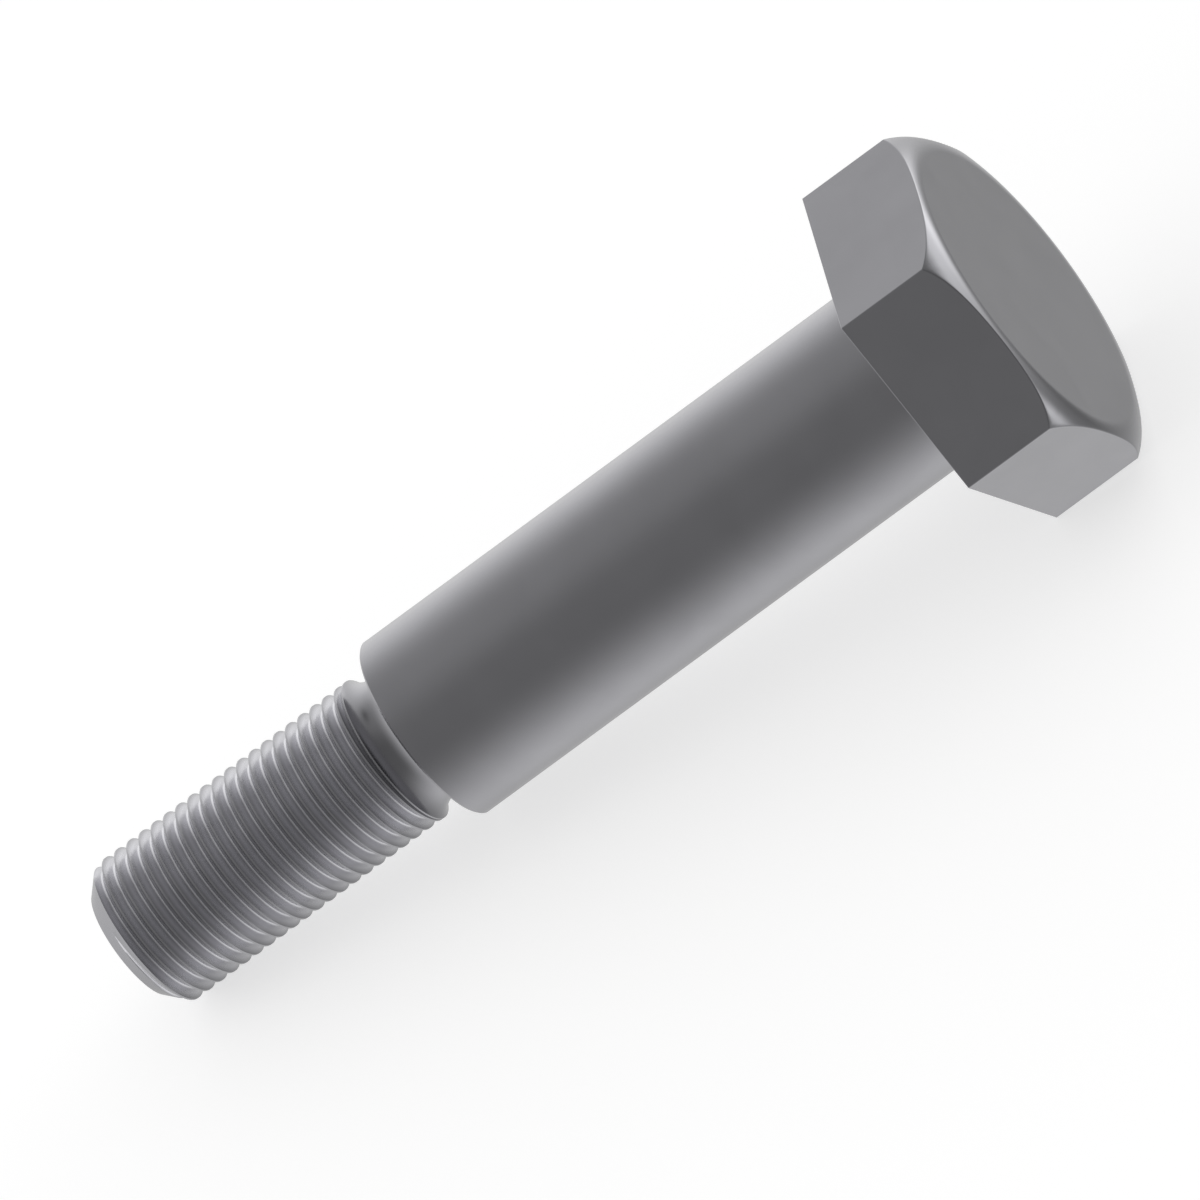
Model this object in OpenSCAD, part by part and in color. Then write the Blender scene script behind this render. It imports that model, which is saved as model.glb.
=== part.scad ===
// Hexagon-head shoulder bolt, one piece, in millimetres.
// Turned and milled from bar: crowned hexagon head, ground shoulder,
// relief neck and a threaded end drawn at the thread's outer diameter.
// The bolt lies on one head flat and on the tip of its thread.
// The origin is the centre of the head's bearing face, and +X runs
// along the bolt from the thread to the head.

/* [Head] */
// Width of the head across two opposite flats
head_flats = 34; // [30:1:46]
// Height of the head from its bearing face to its top
head_height = 12; // [10:0.5:18]
// Radius of the rounded edge turned round the top of the head
crown_radius = 5; // [4:0.5:8]
// How far the rounding has dropped where it meets the six corners
crown_drop = 2; // [1:0.25:3]
// Radius of the fillet between the shoulder and the bearing face
head_fillet = 0.8; // [0.4:0.1:1.5]

/* [Shoulder] */
// Diameter of the ground shoulder
shoulder_diameter = 20; // [18:0.5:24]
// Length from the bearing face to the end of the shoulder
shoulder_length = 62; // [30:1:120]
// Bevel that breaks the edge at the shoulder's end
shoulder_bevel = 0.2; // [0.1:0.05:0.5]

/* [Neck] */
// Length of the relief between the shoulder and the thread
neck_width = 3.6; // [2.6:0.1:3.6]
// Depth of the relief below the outside of the thread
neck_depth = 1.15; // [0.9:0.05:2]
// Radius of the relief's round section
neck_radius = 2.3; // [2.3:0.1:4]

/* [Thread] */
// Outer diameter of the thread
thread_diameter = 16; // [10:0.5:17]
// Length from the relief to the end of the bolt, with its point
thread_length = 32.5; // [15:0.5:60]
// Chamfer on the end of the thread, measured along and across it
point_chamfer = 2; // [0.5:0.25:3]

/* [Hidden] */

// Circles are drawn with this many sides
$fn = 180;
// Sides of the hexagon
head_sides = 6;

head_corner_radius = head_flats / 2 / cos(180 / head_sides);
crown_start = head_corner_radius
    - sqrt(pow(crown_radius, 2) - pow(crown_radius - crown_drop, 2));

shoulder_radius = shoulder_diameter / 2;
thread_radius = thread_diameter / 2;
neck_end = shoulder_length + neck_width;
shank_length = neck_end + thread_length;

// The relief's round section leaves the thread's outside at neck_end
neck_centre_radius = thread_radius - neck_depth + neck_radius;
neck_half_chord = sqrt(pow(neck_radius, 2) - pow(neck_radius - neck_depth, 2));
neck_centre = neck_end - neck_half_chord;

// The bolt leans until the first edge behind the head reaches the floor
lean_angle = atan(min(
    (head_flats / 2 - shoulder_radius) / (shoulder_length - shoulder_bevel),
    (head_flats / 2 - thread_radius) / (shank_length - point_chamfer),
    (head_flats / 2 - thread_radius + point_chamfer) / shank_length
));

// Round blank of the head, with its top edge rounded
module head_blank() {
    rotate_extrude() {
        square([crown_start + crown_radius, head_height - crown_radius]);
        square([crown_start, head_height]);
        intersection() {
            translate([crown_start, head_height - crown_radius])
                circle(r = crown_radius);
            square([crown_start + crown_radius, head_height]);
        }
    }
}

// Six flats milled on the blank, one of them facing down
module head() {
    intersection() {
        head_blank();
        rotate([0, 0, 180 / head_sides])
            cylinder(h = head_height, r = head_corner_radius, $fn = head_sides);
    }
}

// Section of the shoulder, from the axis out, with its fillet and bevel
module shoulder_section() {
    polygon([
        [0, 0],
        [shoulder_radius, 0],
        [shoulder_radius, -shoulder_length + shoulder_bevel],
        [shoulder_radius - shoulder_bevel, -shoulder_length],
        [0, -shoulder_length]
    ]);
    difference() {
        translate([0, -head_fillet])
            square([shoulder_radius + head_fillet, head_fillet]);
        translate([shoulder_radius + head_fillet, -head_fillet])
            circle(r = head_fillet);
    }
}

// Section of the relief neck, hollowed by one round cut
module neck_section() {
    difference() {
        translate([0, -neck_end])
            square([thread_radius, neck_width]);
        translate([neck_centre_radius, -neck_centre])
            circle(r = neck_radius);
    }
}

// Section of the threaded end at its outer diameter, with the point
module thread_section() {
    polygon([
        [0, -neck_end],
        [thread_radius, -neck_end],
        [thread_radius, -shank_length + point_chamfer],
        [thread_radius - point_chamfer, -shank_length],
        [0, -shank_length]
    ]);
}

module shank() {
    rotate_extrude() {
        shoulder_section();
        neck_section();
        thread_section();
    }
}

module shoulder_bolt() {
    color("silver")
        rotate([0, 90 - lean_angle, 0])
            union() {
                head();
                shank();
            }
}

shoulder_bolt();
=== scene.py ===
# %% [markdown]
# A hexagon-head shoulder bolt, one piece of satin steel. On the real object a bar is turned to size
# with a round relief behind its shoulder, six flats are milled on its head, the top is rounded on
# the lathe, a fine thread is cut on the end and the shoulder is ground. The cells below follow that
# order, so each one is a job at the lathe, the mill or the bench, and then comes the studio. The
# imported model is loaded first: it is the fixed frame that gives the bolt's place and size.

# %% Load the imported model
import math

import bmesh
import bpy
from mathutils import Matrix, Vector


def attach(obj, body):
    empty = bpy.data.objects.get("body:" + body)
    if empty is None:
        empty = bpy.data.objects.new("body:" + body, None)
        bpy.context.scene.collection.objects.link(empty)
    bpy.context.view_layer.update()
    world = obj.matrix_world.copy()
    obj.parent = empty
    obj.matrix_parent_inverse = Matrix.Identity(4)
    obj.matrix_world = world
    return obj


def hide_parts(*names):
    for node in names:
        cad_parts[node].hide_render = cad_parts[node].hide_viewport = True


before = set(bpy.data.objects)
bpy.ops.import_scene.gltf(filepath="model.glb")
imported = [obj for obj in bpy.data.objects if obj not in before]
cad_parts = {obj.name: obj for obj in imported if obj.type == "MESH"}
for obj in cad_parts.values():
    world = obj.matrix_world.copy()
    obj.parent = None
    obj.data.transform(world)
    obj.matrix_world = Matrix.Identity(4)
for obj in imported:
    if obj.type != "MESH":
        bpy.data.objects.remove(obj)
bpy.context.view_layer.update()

# %% [markdown]
# The sizes are those of the solid model, in metres along the bolt's own axis: z is 0 at the bearing
# face under the head, positive up through the head and negative down the shank. The bolt is made
# upright, because sums about a vertical axis stay short, and is laid down once, at the end. HAIR is
# how far a point may be from a place and still count as being there.

# %% Sizes of the bolt
MM = 0.001
HAIR = 0.02 * MM

HEAD_FLATS = 34 * MM
HEAD_HEIGHT = 12 * MM
CROWN_RADIUS = 5 * MM
CROWN_DROP = 2 * MM
HEAD_FILLET = 0.8 * MM
SHOULDER_RADIUS = 10 * MM
SHOULDER_END = -62 * MM
SHOULDER_BEVEL = 0.2 * MM
NECK_END = -65.6 * MM
NECK_DEPTH = 1.15 * MM
NECK_RADIUS = 2.3 * MM
THREAD_RADIUS = 8 * MM
THREAD_PITCH = 1.5 * MM
POINT_CHAMFER = 2 * MM
SHANK_END = -98.1 * MM

CORNER_RADIUS = HEAD_FLATS / 2 / math.cos(math.radians(30))
CROWN_FOOT = HEAD_HEIGHT - CROWN_DROP
CROWN_START = CORNER_RADIUS - math.sqrt(CROWN_RADIUS**2 - (CROWN_RADIUS - CROWN_DROP) ** 2)
CHAMFER_TOP = SHANK_END + POINT_CHAMFER
print("across the corners, mm:", round(2 * CORNER_RADIUS / MM, 2))

# %% [markdown]
# A bolt can't stand on its thread, so it lies on one flat of its head and on the tip of its
# thread. The lean follows from the two radii that touch the floor and the distance between them.
# One turn about Y then lays the upright bolt down: its z runs along the floor with the head end
# raised, and its x points down through the flat that it lies on.

# %% The lean of the bolt
LEAN = math.atan((HEAD_FLATS / 2 - THREAD_RADIUS) / -CHAMFER_TOP)
LAY_DOWN = Matrix.Rotation(math.radians(90) - LEAN, 4, "Y")
FLOOR_HEIGHT = -HEAD_FLATS / 2 * math.cos(LEAN)
print("lean in degrees:", round(math.degrees(LEAN), 2), "floor at mm:", round(FLOOR_HEIGHT / MM, 2))

# %% [markdown]
# Most of the bolt is a section carried round an axis, which is what a lathe does and what a spin
# does. A subdivided cylinder could be pushed into the same form, but a section says exactly where
# each radius starts. The helpers give the points of an arc, string points into a wire, tell whether
# a point lies at a height, and carry out two clean-ups that every spun mesh needs.


# %% Helpers for a turned form
def arc(centre_r, centre_z, radius, start, end, steps):
    """Points (r, z) along an arc of the section, with angles in degrees."""
    turns = [math.radians(start + (end - start) * i / steps) for i in range(steps + 1)]
    return [(centre_r + radius * math.cos(t), centre_z + radius * math.sin(t)) for t in turns]


def wire(mesh, points):
    """Joins the points by edges and returns the new vertices and edges."""
    verts = [mesh.verts.new(point) for point in points]
    return verts + [mesh.edges.new(pair) for pair in zip(verts, verts[1:])]


def weld(mesh):
    bmesh.ops.remove_doubles(mesh, verts=mesh.verts[:], dist=0.001 * MM)


def at_height(vert, height):
    return abs(vert.co.z - height) < HAIR


def close_ring(mesh, height):
    """Fills the open ring of edges that lies at a height and returns its face."""
    rim = [e for e in mesh.edges if e.is_boundary and all(at_height(v, height) for v in e.verts)]
    return bmesh.ops.edgeloop_fill(mesh, edges=rim)["faces"]


# %% [markdown]
# The first job is the blank. Its section runs from the lip where the thread will start, through
# the relief and along the shoulder, out under the head, up its side and in to where the crown will
# begin. The relief is one round cut that leaves the thread's outer diameter at sixty degrees, and
# the small fillet under the head is there because a sharp corner would crack under load. The crown
# is only a straight cone so far.

# %% Turn the blank
SIDES = 240
RELIEF_STEPS = 20
FILLET_STEPS = 6

relief_r = THREAD_RADIUS - NECK_DEPTH + NECK_RADIUS
half_chord = math.sqrt(NECK_RADIUS**2 - (NECK_RADIUS - NECK_DEPTH) ** 2)
relief_z = NECK_END + half_chord
lip_angle = 180 + math.degrees(math.asin(half_chord / NECK_RADIUS))
face_angle = 180 - math.degrees(math.asin((SHOULDER_END - relief_z) / NECK_RADIUS))

section = arc(relief_r, relief_z, NECK_RADIUS, lip_angle, face_angle, RELIEF_STEPS)
section += [
    (SHOULDER_RADIUS - SHOULDER_BEVEL, SHOULDER_END),
    (SHOULDER_RADIUS, SHOULDER_END + SHOULDER_BEVEL),
]
section += arc(SHOULDER_RADIUS + HEAD_FILLET, -HEAD_FILLET, HEAD_FILLET, 180, 90, FILLET_STEPS)
section += [
    (CORNER_RADIUS, 0),
    (CORNER_RADIUS, CROWN_FOOT),
    (CROWN_START, HEAD_HEIGHT),
]

bolt = bmesh.new()
outline = wire(bolt, [(r, 0, z) for r, z in section])
bmesh.ops.spin(
    bolt, geom=outline, cent=(0, 0, 0), axis=(0, 0, 1), dvec=(0, 0, 0),
    angle=math.tau, steps=SIDES, use_merge=True,
)
weld(bolt)
print("blank:", len(bolt.verts), "points,", len(bolt.faces), "faces")

# %% [markdown]
# Next the six flats. Cutting the round blank with six planes would do it, but each cut would leave
# slivers where it crosses the rings. Instead every point of the outer wall is drawn in along its
# own radius until it lies on the nearest flat. The corners fall on points of the ring, because the
# ring has a multiple of twelve of them, so the edges of the hexagon come out straight and clean.


# %% Mill the flats
def hexagon_reach(point):
    """Distance from the axis to the hexagon in the point's direction, with a flat facing x."""
    sixth = math.radians(60)
    off_middle = (math.atan2(point.y, point.x) + sixth / 2) % sixth - sixth / 2
    return HEAD_FLATS / 2 / math.cos(off_middle)


wall = [v for v in bolt.verts if abs(v.co.xy.length - CORNER_RADIUS) < HAIR]
for v in wall:
    v.co.xy *= hexagon_reach(v.co) / CORNER_RADIUS
print("points on the hexagon:", len(wall))

# %% [markdown]
# The crown is turned after the flats, and that gives the head its look: each flat ends in a curve
# that dips towards the corners. The straight lines from the wall to the top are divided into rings,
# and each point of a ring is then set to the height that the round cutter leaves at its radius. The
# arc runs smoothly into the flat top, which is closed with one face.

# %% Round the crown
CROWN_RINGS = 10

spokes = [
    e for e in bolt.edges
    if any(at_height(v, CROWN_FOOT) for v in e.verts) and any(at_height(v, HEAD_HEIGHT) for v in e.verts)
]
bmesh.ops.subdivide_edges(bolt, edges=spokes, cuts=CROWN_RINGS - 1, use_grid_fill=True)
for v in bolt.verts:
    out = v.co.xy.length - CROWN_START
    if v.co.z > CROWN_FOOT - HAIR and out > 0:
        v.co.z = HEAD_HEIGHT - CROWN_RADIUS + math.sqrt(CROWN_RADIUS**2 - out**2)
top = close_ring(bolt, HEAD_HEIGHT)
print("spokes:", len(spokes), "top faces:", len(top))

# %% [markdown]
# No real edge is perfectly sharp: a file or a tumbler breaks it by a tenth of a millimetre, and
# that thin strip is what draws a bright or a dark line round the head. Bevel makes it. The strips
# of each flat are merged into one face first, by edges listed in the mesh's own order, which is the
# same in every run. Then the edges to break are picked by the angle between their two faces.

# %% Break the edges of the head
EDGE_BREAK = 0.09 * MM
BREAK_STEPS = 3
SHARP = math.radians(36)
FLUSH = math.radians(0.05)

strips = {f for f in bolt.faces if f.calc_center_median().z > 0 and abs(f.normal.z) < FLUSH}
flush = [
    e for e in bolt.edges
    if len(e.link_faces) == 2 and strips.intersection(e.link_faces) and e.calc_face_angle() < FLUSH
]
bmesh.ops.dissolve_edges(bolt, edges=flush, use_verts=False)
head_rim = [
    e for e in bolt.edges
    if len(e.link_faces) == 2 and e.calc_face_angle() > SHARP and min(v.co.z for v in e.verts) > -HAIR
]
bmesh.ops.bevel(
    bolt, geom=head_rim, offset=EDGE_BREAK, offset_type="OFFSET", segments=BREAK_STEPS, profile=0.5,
    affect="EDGES", material=-1, clamp_overlap=False,
)
print("strips merged:", len(strips), "edges broken:", len(head_rim), "faces now:", len(bolt.faces))

# %% [markdown]
# The thread. A thread is a furrow that climbs one pitch per turn. Rolled out flat, it is a sheet of
# straight, slanted furrows, so it is made flat first: x is the angle round the bolt, y the place
# along it and z the radius. The section has a narrow crest, flanks at thirty degrees to the radius
# and a rounded root, in the shares of the pitch that a metric thread has. One straight sweep slants
# it by a pitch. A few furrows more than fit are made, so that the sheet reaches past both its ends.
# It will start a little beyond the blank's lip, and a bridge will join the two.

# %% Section of the furrows
CREST = THREAD_PITCH / 8
DEPTH = 0.6134 * THREAD_PITCH
ROOT_ROUND = 0.144 * THREAD_PITCH
LIP_WIDTH = 0.15 * MM
THREAD_TOP = NECK_END - LIP_WIDTH
SPARE_FURROWS = 3

root_centre = THREAD_RADIUS - DEPTH + ROOT_ROUND
furrow = [(CREST / 2, THREAD_RADIUS)]
for turn in (-60, -30, 0, 30, 60):
    swing = math.radians(turn)
    off_middle, down = ROOT_ROUND * math.sin(swing), ROOT_ROUND * math.cos(swing)
    furrow.append((THREAD_PITCH / 2 + off_middle, root_centre - down))
furrow.append((THREAD_PITCH - CREST / 2, THREAD_RADIUS))

furrows = int((THREAD_TOP - SHANK_END) / THREAD_PITCH) + SPARE_FURROWS
first = THREAD_TOP + THREAD_PITCH
sheet = bmesh.new()
rows = wire(sheet, [(0, first - k * THREAD_PITCH - y, r) for k in range(furrows) for y, r in furrow])
bmesh.ops.spin(
    sheet, geom=rows, cent=(0, 0, 0), axis=(0, 0, 1),
    dvec=(math.tau / SIDES, THREAD_PITCH / SIDES, 0), angle=0, steps=SIDES,
)
print("furrows:", furrows, "depth mm:", round(DEPTH / MM, 2), "faces:", len(sheet.faces))

# %% [markdown]
# On the flat sheet the lathe's cones are planes. The two ends are straight cuts. The chamfer on the
# point is a sloping plane that no crest may pass, and beside the relief there is another that no
# furrow may sink below, where the thread runs out. Each plane is cut into the sheet by bisect_plane,
# so that its edge is exact, and the points beyond it are then moved onto it.

# %% Trim the sheet
RUN_OUT = 1.0 * MM
ON_PLANE = 1e-6 * MM


def cut_sheet(point, normal, clear=False):
    bmesh.ops.bisect_plane(
        sheet, geom=sheet.verts[:] + sheet.edges[:] + sheet.faces[:],
        plane_co=point, plane_no=normal, clear_outer=clear, dist=ON_PLANE,
    )


cut_sheet((0, THREAD_TOP, 0), (0, 1, 0), clear=True)
cut_sheet((0, SHANK_END, 0), (0, -1, 0), clear=True)
cut_sheet((0, CHAMFER_TOP, THREAD_RADIUS), (0, -1, 1))
cut_sheet((0, THREAD_TOP, THREAD_RADIUS), (0, -DEPTH, RUN_OUT))
for v in sheet.verts:
    highest = THREAD_RADIUS - max(0, CHAMFER_TOP - v.co.y)
    lowest = THREAD_RADIUS - min((THREAD_TOP - v.co.y) / RUN_OUT, 1) * DEPTH
    v.co.z = min(max(v.co.z, lowest), highest)
print("faces after trimming:", len(sheet.faces))

# %% [markdown]
# Now the sheet is rolled up: each point's angle and radius become its place round the bolt. The far
# edge of the sheet is one pitch higher than the near edge, so every furrow meets its neighbour and
# all of them become one helix, right-handed as on almost every bolt. The end is closed, and a
# bridge joins the thread to the blank's lip.

# %% Roll the thread up and join it
for v in sheet.verts:
    angle, along, radius = v.co
    v.co = (radius * math.cos(angle), radius * math.sin(angle), along)
weld(sheet)
close_ring(sheet, SHANK_END)

rolled = bpy.data.meshes.new("rolled_thread")
sheet.to_mesh(rolled)
sheet.free()
bolt.from_mesh(rolled)
bpy.data.meshes.remove(rolled)
bmesh.ops.bridge_loops(bolt, edges=[e for e in bolt.edges if e.is_boundary])
bmesh.ops.recalc_face_normals(bolt, faces=bolt.faces[:])
open_edges = sum(not e.is_manifold for e in bolt.edges)
print("open edges:", open_edges, "volume in cubic mm:", round(bolt.calc_volume() / MM**3, 1))

# %% [markdown]
# The tools leave different finishes: the wheel grinds the shoulder, the turning tool leaves rings
# on the top, the crown and the relief, the mill leaves strokes on the flats, and the threading tool
# cuts the thread. Each face gets the number of its finish here, while the bolt is still
# upright and the sums are easy. The materials themselves are made further on.

# %% Note which tool cut each face
FINISHES = ["turned_steel", "ground_shoulder", "milled_flats", "cut_thread"]
NEARLY_UPRIGHT = 0.01


def finish_of(face):
    middle = face.calc_center_median()
    radius = middle.xy.length
    if SHOULDER_END < middle.z < -HEAD_FILLET and radius > SHOULDER_RADIUS - HAIR:
        return "ground_shoulder"
    if middle.z > 0 and abs(face.normal.z) < NEARLY_UPRIGHT:
        return "milled_flats"
    chamfer = THREAD_RADIUS + middle.z - CHAMFER_TOP
    if SHANK_END + HAIR < middle.z < THREAD_TOP and radius < chamfer - HAIR:
        return "cut_thread"
    return "turned_steel"


for face in bolt.faces:
    face.material_index = FINISHES.index(finish_of(face))
    face.smooth = True
for number, name in enumerate(FINISHES):
    print(name, sum(f.material_index == number for f in bolt.faces), "faces")

# %% [markdown]
# The bolt is laid down and becomes an object. All faces are smooth, edges sharper than thirty-six
# degrees are marked sharp, and a Weighted Normal modifier lets the large faces rule the shading:
# without it the long shoulder would be shaded as if it leaned towards its fillet.

# %% Lay the bolt down
bmesh.ops.transform(bolt, matrix=LAY_DOWN, verts=bolt.verts[:])
shape = bpy.data.meshes.new("bolt")
bolt.to_mesh(shape)
bolt.free()
shape.set_sharp_from_angle(angle=SHARP)

piece = bpy.data.objects.new("bolt", shape)
bpy.context.scene.collection.objects.link(piece)
weighted = piece.modifiers.new("large faces rule", "WEIGHTED_NORMAL")
weighted.mode = "FACE_AREA"
weighted.weight = 50
weighted.keep_sharp = True

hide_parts("shoulder_bolt")
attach(piece, "root")
print("triangles:", sum(len(p.vertices) - 2 for p in shape.polygons))

# %% [markdown]
# The steel. All four finishes are one metal, so they share one colour and the two effects below.
# Clean steel has a grey colour that is hardly blue, and everything else that the eye sees is what it
# mirrors, so a finish lies in the roughness and in marks too fine to be modelled. Both follow the
# bolt's own axes. The object's coordinates are therefore turned upright again in every finish, by a
# Mapping node with the opposite of the turn that laid the bolt down.

# %% One metal for every finish
STEEL = (0.2545, 0.2536, 0.2665)
UPRIGHT = (0, LEAN - math.radians(90), 0)
print("turned back to upright by degrees:", [round(math.degrees(angle), 2) for angle in UPRIGHT])

# %% [markdown]
# A cutting tool leaves lines of uneven depth side by side, like the grooves of a record. A wave
# texture would be too regular, so the lines come from a noise along one coordinate only. The group
# takes the place measured across the lines, in metres, and their spacing in millimetres, and gives
# a depth from 0 to 1.


# %% Tool marks as a node group
def socket(group, name, kind, way):
    group.interface.new_socket(name=name, in_out=way, socket_type="NodeSocket" + kind)


tool_marks = bpy.data.node_groups.new("tool_marks", "ShaderNodeTree")
socket(tool_marks, "Across", "Float", "INPUT")
socket(tool_marks, "Spacing", "Float", "INPUT")
socket(tool_marks, "Depth", "Float", "OUTPUT")
entry = tool_marks.nodes.new("NodeGroupInput")
leave = tool_marks.nodes.new("NodeGroupOutput")

to_millimetres = tool_marks.nodes.new("ShaderNodeMath")
to_millimetres.operation = "MULTIPLY"
to_millimetres.inputs[1].default_value = 1 / MM
count = tool_marks.nodes.new("ShaderNodeMath")
count.operation = "DIVIDE"
grooves = tool_marks.nodes.new("ShaderNodeTexNoise")
grooves.noise_dimensions = "1D"
grooves.inputs["Scale"].default_value = 1
grooves.inputs["Detail"].default_value = 1
grooves.inputs["Roughness"].default_value = 0.4
tool_marks.links.new(entry.outputs["Across"], to_millimetres.inputs[0])
tool_marks.links.new(to_millimetres.outputs[0], count.inputs[0])
tool_marks.links.new(entry.outputs["Spacing"], count.inputs[1])
tool_marks.links.new(count.outputs[0], grooves.inputs["W"])
tool_marks.links.new(grooves.outputs["Fac"], leave.inputs["Depth"])
print("group", tool_marks.name, "has", len(tool_marks.nodes), "nodes")

# %% [markdown]
# Clean steel is never quite even: a thin film of oil and the last wipe of a cloth leave patches a
# few millimetres wide, a little duller and a little darker than the rest. A soft noise in all three
# coordinates gives them, so that a patch passes over an edge from one face to the next.

# %% Oil film as a node group
oil_film = bpy.data.node_groups.new("oil_film", "ShaderNodeTree")
socket(oil_film, "Place", "Vector", "INPUT")
socket(oil_film, "Patch size", "Float", "INPUT")
socket(oil_film, "Film", "Float", "OUTPUT")
entry = oil_film.nodes.new("NodeGroupInput")
leave = oil_film.nodes.new("NodeGroupOutput")

per_metre = oil_film.nodes.new("ShaderNodeMath")
per_metre.operation = "DIVIDE"
per_metre.inputs[0].default_value = 1 / MM
patches = oil_film.nodes.new("ShaderNodeTexNoise")
patches.inputs["Detail"].default_value = 3
patches.inputs["Roughness"].default_value = 0.55
patches.inputs["Distortion"].default_value = 0.4
spread = oil_film.nodes.new("ShaderNodeMapRange")
spread.inputs["From Min"].default_value = 0.35
spread.inputs["From Max"].default_value = 0.65
oil_film.links.new(entry.outputs["Patch size"], per_metre.inputs[1])
oil_film.links.new(per_metre.outputs[0], patches.inputs["Scale"])
oil_film.links.new(entry.outputs["Place"], patches.inputs["Vector"])
oil_film.links.new(patches.outputs["Fac"], spread.inputs["Value"])
oil_film.links.new(spread.outputs["Result"], leave.inputs["Film"])
print("group", oil_film.name, "has", len(oil_film.nodes), "nodes")

# %% [markdown]
# One function makes any finish from the two groups. The marks tilt the surface through a Bump node,
# by less than a thousandth of a millimetre, and dull the metal where they are deep. The film dulls
# it too, and darkens its colour by a few parts in a hundred. Each of the two goes from 0 to 1, so the
# wear that they add up to is 2 at most. One finish differs from the next in the spacing and depth of
# its marks, in its roughness, and in the direction that the marks are counted in, which is added
# afterwards.


# %% A finish from its marks and its film
CLEAN, OILED = 1.02, 0.97
PATCH_SIZE = 7
MOST_WEAR = 2


def make_finish(name, spacing, depth, polished, dull):
    """Makes a steel finish: spacing in mm, depth in metres and the two ends of its roughness."""
    finish = bpy.data.materials.new(name)
    finish.use_nodes = True
    nodes, links = finish.node_tree.nodes, finish.node_tree.links
    shader = nodes["Principled BSDF"]
    shader.inputs["Metallic"].default_value = 1

    place = nodes.new("ShaderNodeTexCoord")
    upright = nodes.new("ShaderNodeMapping")
    upright.name = "upright"
    upright.inputs["Rotation"].default_value = UPRIGHT
    links.new(place.outputs["Object"], upright.inputs["Vector"])

    marks = nodes.new("ShaderNodeGroup")
    marks.name = "marks"
    marks.node_tree = tool_marks
    marks.inputs["Spacing"].default_value = spacing
    film = nodes.new("ShaderNodeGroup")
    film.node_tree = oil_film
    film.inputs["Patch size"].default_value = PATCH_SIZE
    links.new(upright.outputs["Vector"], film.inputs["Place"])

    tone = nodes.new("ShaderNodeMix")
    tone.name = "tone"
    tone.data_type = "RGBA"
    tone.inputs["A"].default_value = [c * CLEAN for c in STEEL] + [1]
    tone.inputs["B"].default_value = [c * OILED for c in STEEL] + [1]
    links.new(film.outputs["Film"], tone.inputs["Factor"])
    links.new(tone.outputs["Result"], shader.inputs["Base Color"])

    wear = nodes.new("ShaderNodeMath")
    wear.operation = "ADD"
    links.new(marks.outputs["Depth"], wear.inputs[0])
    links.new(film.outputs["Film"], wear.inputs[1])
    gloss = nodes.new("ShaderNodeMapRange")
    gloss.inputs["From Max"].default_value = MOST_WEAR
    gloss.inputs["To Min"].default_value = polished
    gloss.inputs["To Max"].default_value = dull
    links.new(wear.outputs[0], gloss.inputs["Value"])
    links.new(gloss.outputs["Result"], shader.inputs["Roughness"])

    bump = nodes.new("ShaderNodeBump")
    bump.inputs["Strength"].default_value = 1
    bump.inputs["Distance"].default_value = depth
    links.new(marks.outputs["Depth"], bump.inputs["Height"])
    links.new(bump.outputs["Normal"], shader.inputs["Normal"])
    shape.materials.append(finish)
    print(name, "marks every mm:", spacing, "roughness:", polished, "to", dull)


# %% [markdown]
# The turned parts and the thread carry rings a third of a millimetre apart, the ground shoulder has
# finer and shallower ones, and the milled flats have the widest. The thread is a little duller than
# the rest, because its small flanks can't be wiped as clean.

# %% The four finishes
MARKS = {
    "turned_steel": (0.30, 0.5e-6, 0.20, 0.24),
    "ground_shoulder": (0.20, 0.2e-6, 0.20, 0.24),
    "milled_flats": (0.45, 0.4e-6, 0.20, 0.24),
    "cut_thread": (0.30, 0.4e-6, 0.24, 0.32),
}
for name in FINISHES:
    make_finish(name, *MARKS[name])

# %% [markdown]
# Rings are counted by the distance from the axis less the height. That number grows evenly over the
# flat top, round the crown, through the relief and down the chamfer, so the rings never bunch up. On
# the ground shoulder, which is one straight cylinder, they are counted by the height alone, and the
# outward share is nought.


# %% Rings about the axis
def count_rings(name, outward):
    """Counts the marks along the bolt, and outward from its axis as well where outward is 1."""
    nodes = bpy.data.materials[name].node_tree.nodes
    links = bpy.data.materials[name].node_tree.links
    flatten = nodes.new("ShaderNodeVectorMath")
    flatten.operation = "MULTIPLY"
    flatten.inputs[1].default_value = (outward, outward, 0)
    reach = nodes.new("ShaderNodeVectorMath")
    reach.name = "reach"
    reach.operation = "LENGTH"
    parts = nodes.new("ShaderNodeSeparateXYZ")
    less = nodes.new("ShaderNodeMath")
    less.operation = "SUBTRACT"
    links.new(nodes["upright"].outputs["Vector"], flatten.inputs[0])
    links.new(nodes["upright"].outputs["Vector"], parts.inputs["Vector"])
    links.new(flatten.outputs["Vector"], reach.inputs[0])
    links.new(reach.outputs["Value"], less.inputs[0])
    links.new(parts.outputs["Z"], less.inputs[1])
    links.new(less.outputs[0], nodes["marks"].inputs["Across"])


count_rings("turned_steel", 1)
count_rings("ground_shoulder", 0)
count_rings("cut_thread", 1)
print("rings on", len(FINISHES) - 1, "finishes")

# %% [markdown]
# In a furrow light bounces from flank to flank and loses some of itself each time, so a thread of
# one steel would be far darker than the shoulder. Painted light makes up for that shade: the thread's
# colour is multiplied by a number that is high on the lower half of the flanks and on the root and
# falls towards the crest, where the steel keeps its own colour. The distance from the axis, which
# the rings have already measured, tells how deep a point lies.

# %% Painted light in the furrows
FURROW_PAINTED_LIGHT = 1.9

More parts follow.
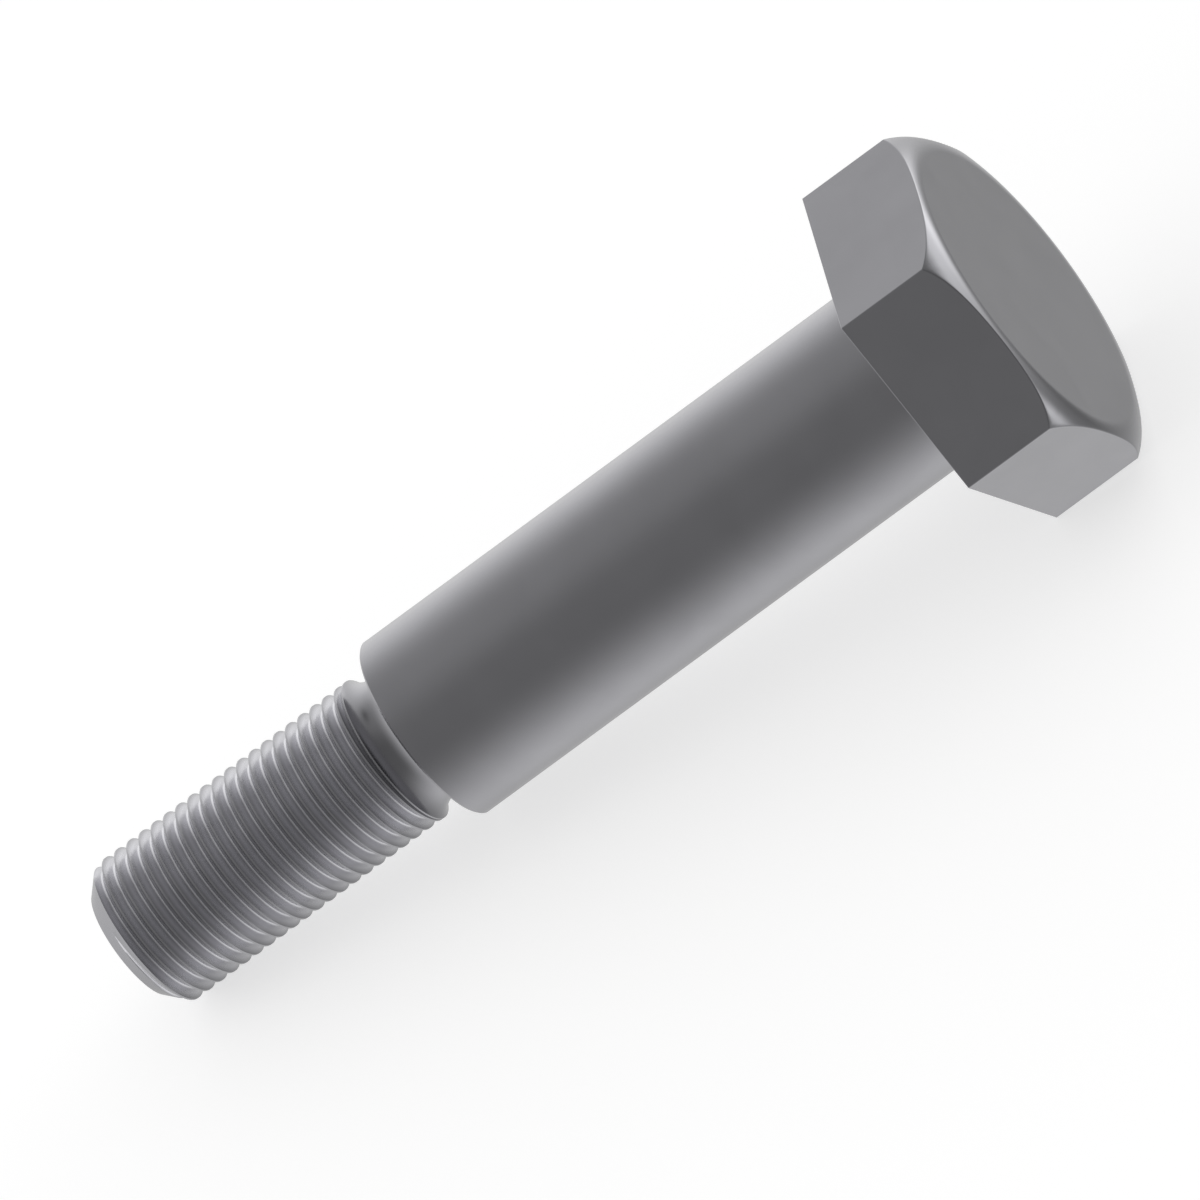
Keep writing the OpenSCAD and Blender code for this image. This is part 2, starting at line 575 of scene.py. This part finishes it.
thread_steel = bpy.data.materials["cut_thread"].node_tree
# painted light: the thread's colour is raised towards the root, to make up for the shade between the
# flanks
painted_light_by_depth = thread_steel.nodes.new("ShaderNodeMapRange")
painted_light_by_depth.inputs["From Min"].default_value = THREAD_RADIUS - DEPTH / 2
painted_light_by_depth.inputs["From Max"].default_value = THREAD_RADIUS
painted_light_by_depth.inputs["To Min"].default_value = FURROW_PAINTED_LIGHT
painted_light_by_depth.inputs["To Max"].default_value = 1
paint_light_in_furrows = thread_steel.nodes.new("ShaderNodeVectorMath")
paint_light_in_furrows.operation = "SCALE"
thread_steel.links.new(thread_steel.nodes["reach"].outputs["Value"], painted_light_by_depth.inputs["Value"])
thread_steel.links.new(painted_light_by_depth.outputs["Result"], paint_light_in_furrows.inputs["Scale"])
thread_steel.links.new(thread_steel.nodes["tone"].outputs["Result"], paint_light_in_furrows.inputs[0])
thread_steel.links.new(paint_light_in_furrows.outputs[0], thread_steel.nodes["Principled BSDF"].inputs["Base Color"])
print("root brighter than crest by a factor of", FURROW_PAINTED_LIGHT)

# %% [markdown]
# The flats are milled by a wide cutter that turns about an axis square to the flat, so its marks are
# long shallow arcs from side to side. All points of an arc lie at one distance from a point far down
# on the bolt's axis, and that distance is the number to count the arcs by.

# %% Arcs across the flats
CUTTER_REACH = 60 * MM

nodes = bpy.data.materials["milled_flats"].node_tree.nodes
links = bpy.data.materials["milled_flats"].node_tree.links
from_cutter = nodes.new("ShaderNodeVectorMath")
from_cutter.operation = "ADD"
from_cutter.inputs[1].default_value = (0, 0, CUTTER_REACH)
arc_radius = nodes.new("ShaderNodeVectorMath")
arc_radius.operation = "LENGTH"
links.new(nodes["upright"].outputs["Vector"], from_cutter.inputs[0])
links.new(from_cutter.outputs["Vector"], arc_radius.inputs[0])
links.new(arc_radius.outputs["Value"], nodes["marks"].inputs["Across"])
print("arcs on the flats, radius in mm: about", round((CUTTER_REACH + HEAD_HEIGHT / 2) / MM))

# %% [markdown]
# The floor is a wide sheet of white paper at the height that the bolt rests on. It isn't part of
# the object, and it takes the bolt's soft shadow. Its paper is lifted to a full white for rays of
# the eye, the mirror and the glass alone, through Light Path, so that no more light falls on the
# object for it. Satin steel mirrors whatever is round it, but in the photograph the bolt hangs free
# and its lower faces mirror the pale studio below, not a floor close by, so the sheet is taken out
# of the mirror and the world's lower half shows there in its place.

# %% Floor
FLOOR_REACH = 3
PAPER = 0.6
LIFT = 0.61

paper = bmesh.new()
bmesh.ops.create_grid(paper, x_segments=1, y_segments=1, size=FLOOR_REACH)
bmesh.ops.translate(paper, verts=paper.verts[:], vec=(0, 0, FLOOR_HEIGHT))
floor_shape = bpy.data.meshes.new("floor")
paper.to_mesh(floor_shape)
paper.free()

floor = bpy.data.objects.new("floor", floor_shape)
bpy.context.scene.collection.objects.link(floor)
floor.visible_glossy = False

white_paper = bpy.data.materials.new("white_paper")
white_paper.use_nodes = True
nodes, links = white_paper.node_tree.nodes, white_paper.node_tree.links
matt = nodes["Principled BSDF"]
matt.inputs["Base Color"].default_value = (PAPER, PAPER, PAPER, 1)
matt.inputs["Roughness"].default_value = 0.9
matt.inputs["Specular IOR Level"].default_value = 0
matt.inputs["Emission Color"].default_value = (1, 1, 1, 1)

ray = nodes.new("ShaderNodeLightPath")
lift = None
for kind in ("Is Camera Ray", "Is Glossy Ray", "Is Transmission Ray"):
    more = nodes.new("ShaderNodeMath")
    more.operation = "MULTIPLY_ADD"
    more.inputs[1].default_value = LIFT
    more.inputs[2].default_value = 0
    links.new(ray.outputs[kind], more.inputs[0])
    if lift is not None:
        links.new(lift, more.inputs[2])
    lift = more.outputs[0]
links.new(lift, matt.inputs["Emission Strength"])
floor_shape.materials.append(white_paper)
print("floor at mm:", round(FLOOR_HEIGHT / MM, 2))

# %% [markdown]
# The studio. Lamps would each add one hard-edged patch to the steel, while the photograph shows
# broad, soft changes from one face to the next, so the light is painted on the world instead. It
# starts from an even level, and each soft panel adds light round one direction: the cosine of the
# angle from the panel's middle, raised to a power, which makes a wide or a narrow panel with no
# edge. The last three take light away, as grey cards in a studio do: they draw the dark line under
# the crown and keep the relief dark. Over all directions the level averages a little under 1, at
# which a colour shows about as it is written, and the last lines here measure that.

# %% Studio light
EVEN_LEVEL = 0.286
PANELS = {
    "wall behind": ((0.10, 0.99, -0.12), 3.3, 0.71),
    "low and wide": ((-0.10, -0.34, -0.94), 2.5, 0.87),
    "beyond the head": ((0.89, 0.45, 0.06), 14.3, 1.75),
    "beyond the thread": ((-1.00, -0.09, 0.01), 2.6, 1.17),
    "high behind": ((-0.23, 0.71, 0.67), 2.4, 1.53),
    "strip behind the head": ((0.64, 0.73, -0.26), 42, 2.86),
    "strip before the head": ((0.87, -0.10, -0.48), 42, 1.77),
    "low left": ((-0.32, -0.13, -0.94), 11.3, 0.22),
    "grey card under the strip": ((0.59, 0.69, -0.42), 42, -1.10),
    "small grey card overhead": ((0.24, 0.42, 0.88), 42, -0.42),
    "wide grey card overhead": ((-0.23, 0.58, 0.78), 4.3, -1.09),
}

world = bpy.data.worlds.new("studio")
bpy.context.scene.world = world
world.use_nodes = True
nodes, links = world.node_tree.nodes, world.node_tree.links
looking = nodes.new("ShaderNodeTexCoord")


def world_math(operation, first, second):
    """Adds one sum to the world: first is a socket, second a socket or a number."""
    node = nodes.new("ShaderNodeMath")
    node.operation = operation
    links.new(first, node.inputs[0])
    if isinstance(second, bpy.types.NodeSocket):
        links.new(second, node.inputs[1])
    else:
        node.inputs[1].default_value = second
    return node.outputs[0]


level = None
for direction, power, strength in PANELS.values():
    facing_panel = nodes.new("ShaderNodeVectorMath")
    facing_panel.operation = "DOT_PRODUCT"
    facing_panel.inputs[1].default_value = Vector(direction).normalized()
    links.new(looking.outputs["Generated"], facing_panel.inputs[0])
    cosine = world_math("MAXIMUM", facing_panel.outputs["Value"], 0)
    glow = world_math("MULTIPLY", world_math("POWER", cosine, power), strength)
    level = world_math("ADD", glow, EVEN_LEVEL if level is None else level)

background = nodes["Background"]
background.inputs["Color"].default_value = (1, 1, 1, 1)
links.new(level, background.inputs["Strength"])
print("panels:", len(PANELS), "nodes in the world:", len(nodes))

# A panel's average over all directions is its strength over twice its power and two
average = EVEN_LEVEL + sum(strength / (2 * power + 2) for _, power, strength in PANELS.values())
print("average level from all sides:", round(average, 2))

# %% [markdown]
# The camera. The photograph has parallel edges, so the camera is orthographic. Three angles set it:
# how far it is turned round the bolt, how far it looks in from the head's end, and how steeply the
# bolt crosses the frame. They are counted from the bolt's own axes, and the camera's three
# directions follow from them one after the other. The camera is not shifted: it is moved until the
# middle of the bearing face falls on the point where the photograph has it.

# %% Camera
FACING_ANGLE = math.radians(51.61)
TILT = math.radians(16.29)
ROLL = math.radians(36.2233)
PICTURE = 1200
PIXELS_PER_METRE = 10507.5
BEARING_FACE_AT = (928.72, 357.84)
STAND_OFF = 0.6
NEAREST, FARTHEST = 0.01, 10

along = LAY_DOWN.to_3x3() @ Vector((0, 0, 1))
upward = LAY_DOWN.to_3x3() @ Vector((-1, 0, 0))
sideways = along.cross(upward)

across = sideways * math.cos(FACING_ANGLE) - upward * math.sin(FACING_ANGLE)
facing = sideways * math.sin(FACING_ANGLE) + upward * math.cos(FACING_ANGLE)
to_camera = facing * math.cos(TILT) + along * math.sin(TILT)
drawn_axis = along * math.cos(TILT) - facing * math.sin(TILT)
right = drawn_axis * math.cos(ROLL) + across * math.sin(ROLL)
up = drawn_axis * math.sin(ROLL) - across * math.cos(ROLL)

middle = (PICTURE - 1) / 2
shift_right = (BEARING_FACE_AT[0] - middle) / PIXELS_PER_METRE
shift_up = (middle - BEARING_FACE_AT[1]) / PIXELS_PER_METRE
aim = -right * shift_right - up * shift_up

camera_data = bpy.data.cameras.new("camera")
camera_data.type = "ORTHO"
camera_data.ortho_scale = PICTURE / PIXELS_PER_METRE
camera_data.clip_start = NEAREST
camera_data.clip_end = FARTHEST
camera = bpy.data.objects.new("camera", camera_data)
bpy.context.scene.collection.objects.link(camera)
stand = Matrix((right, up, to_camera)).transposed().to_4x4()
stand.translation = aim + to_camera * STAND_OFF
camera.matrix_world = stand
bpy.context.scene.camera = camera
print("camera looks from:", [round(c, 4) for c in to_camera])

# %% [markdown]
# The Standard view shows colours as they are written.

# %% Finish
bpy.context.scene.view_settings.view_transform = "Standard"
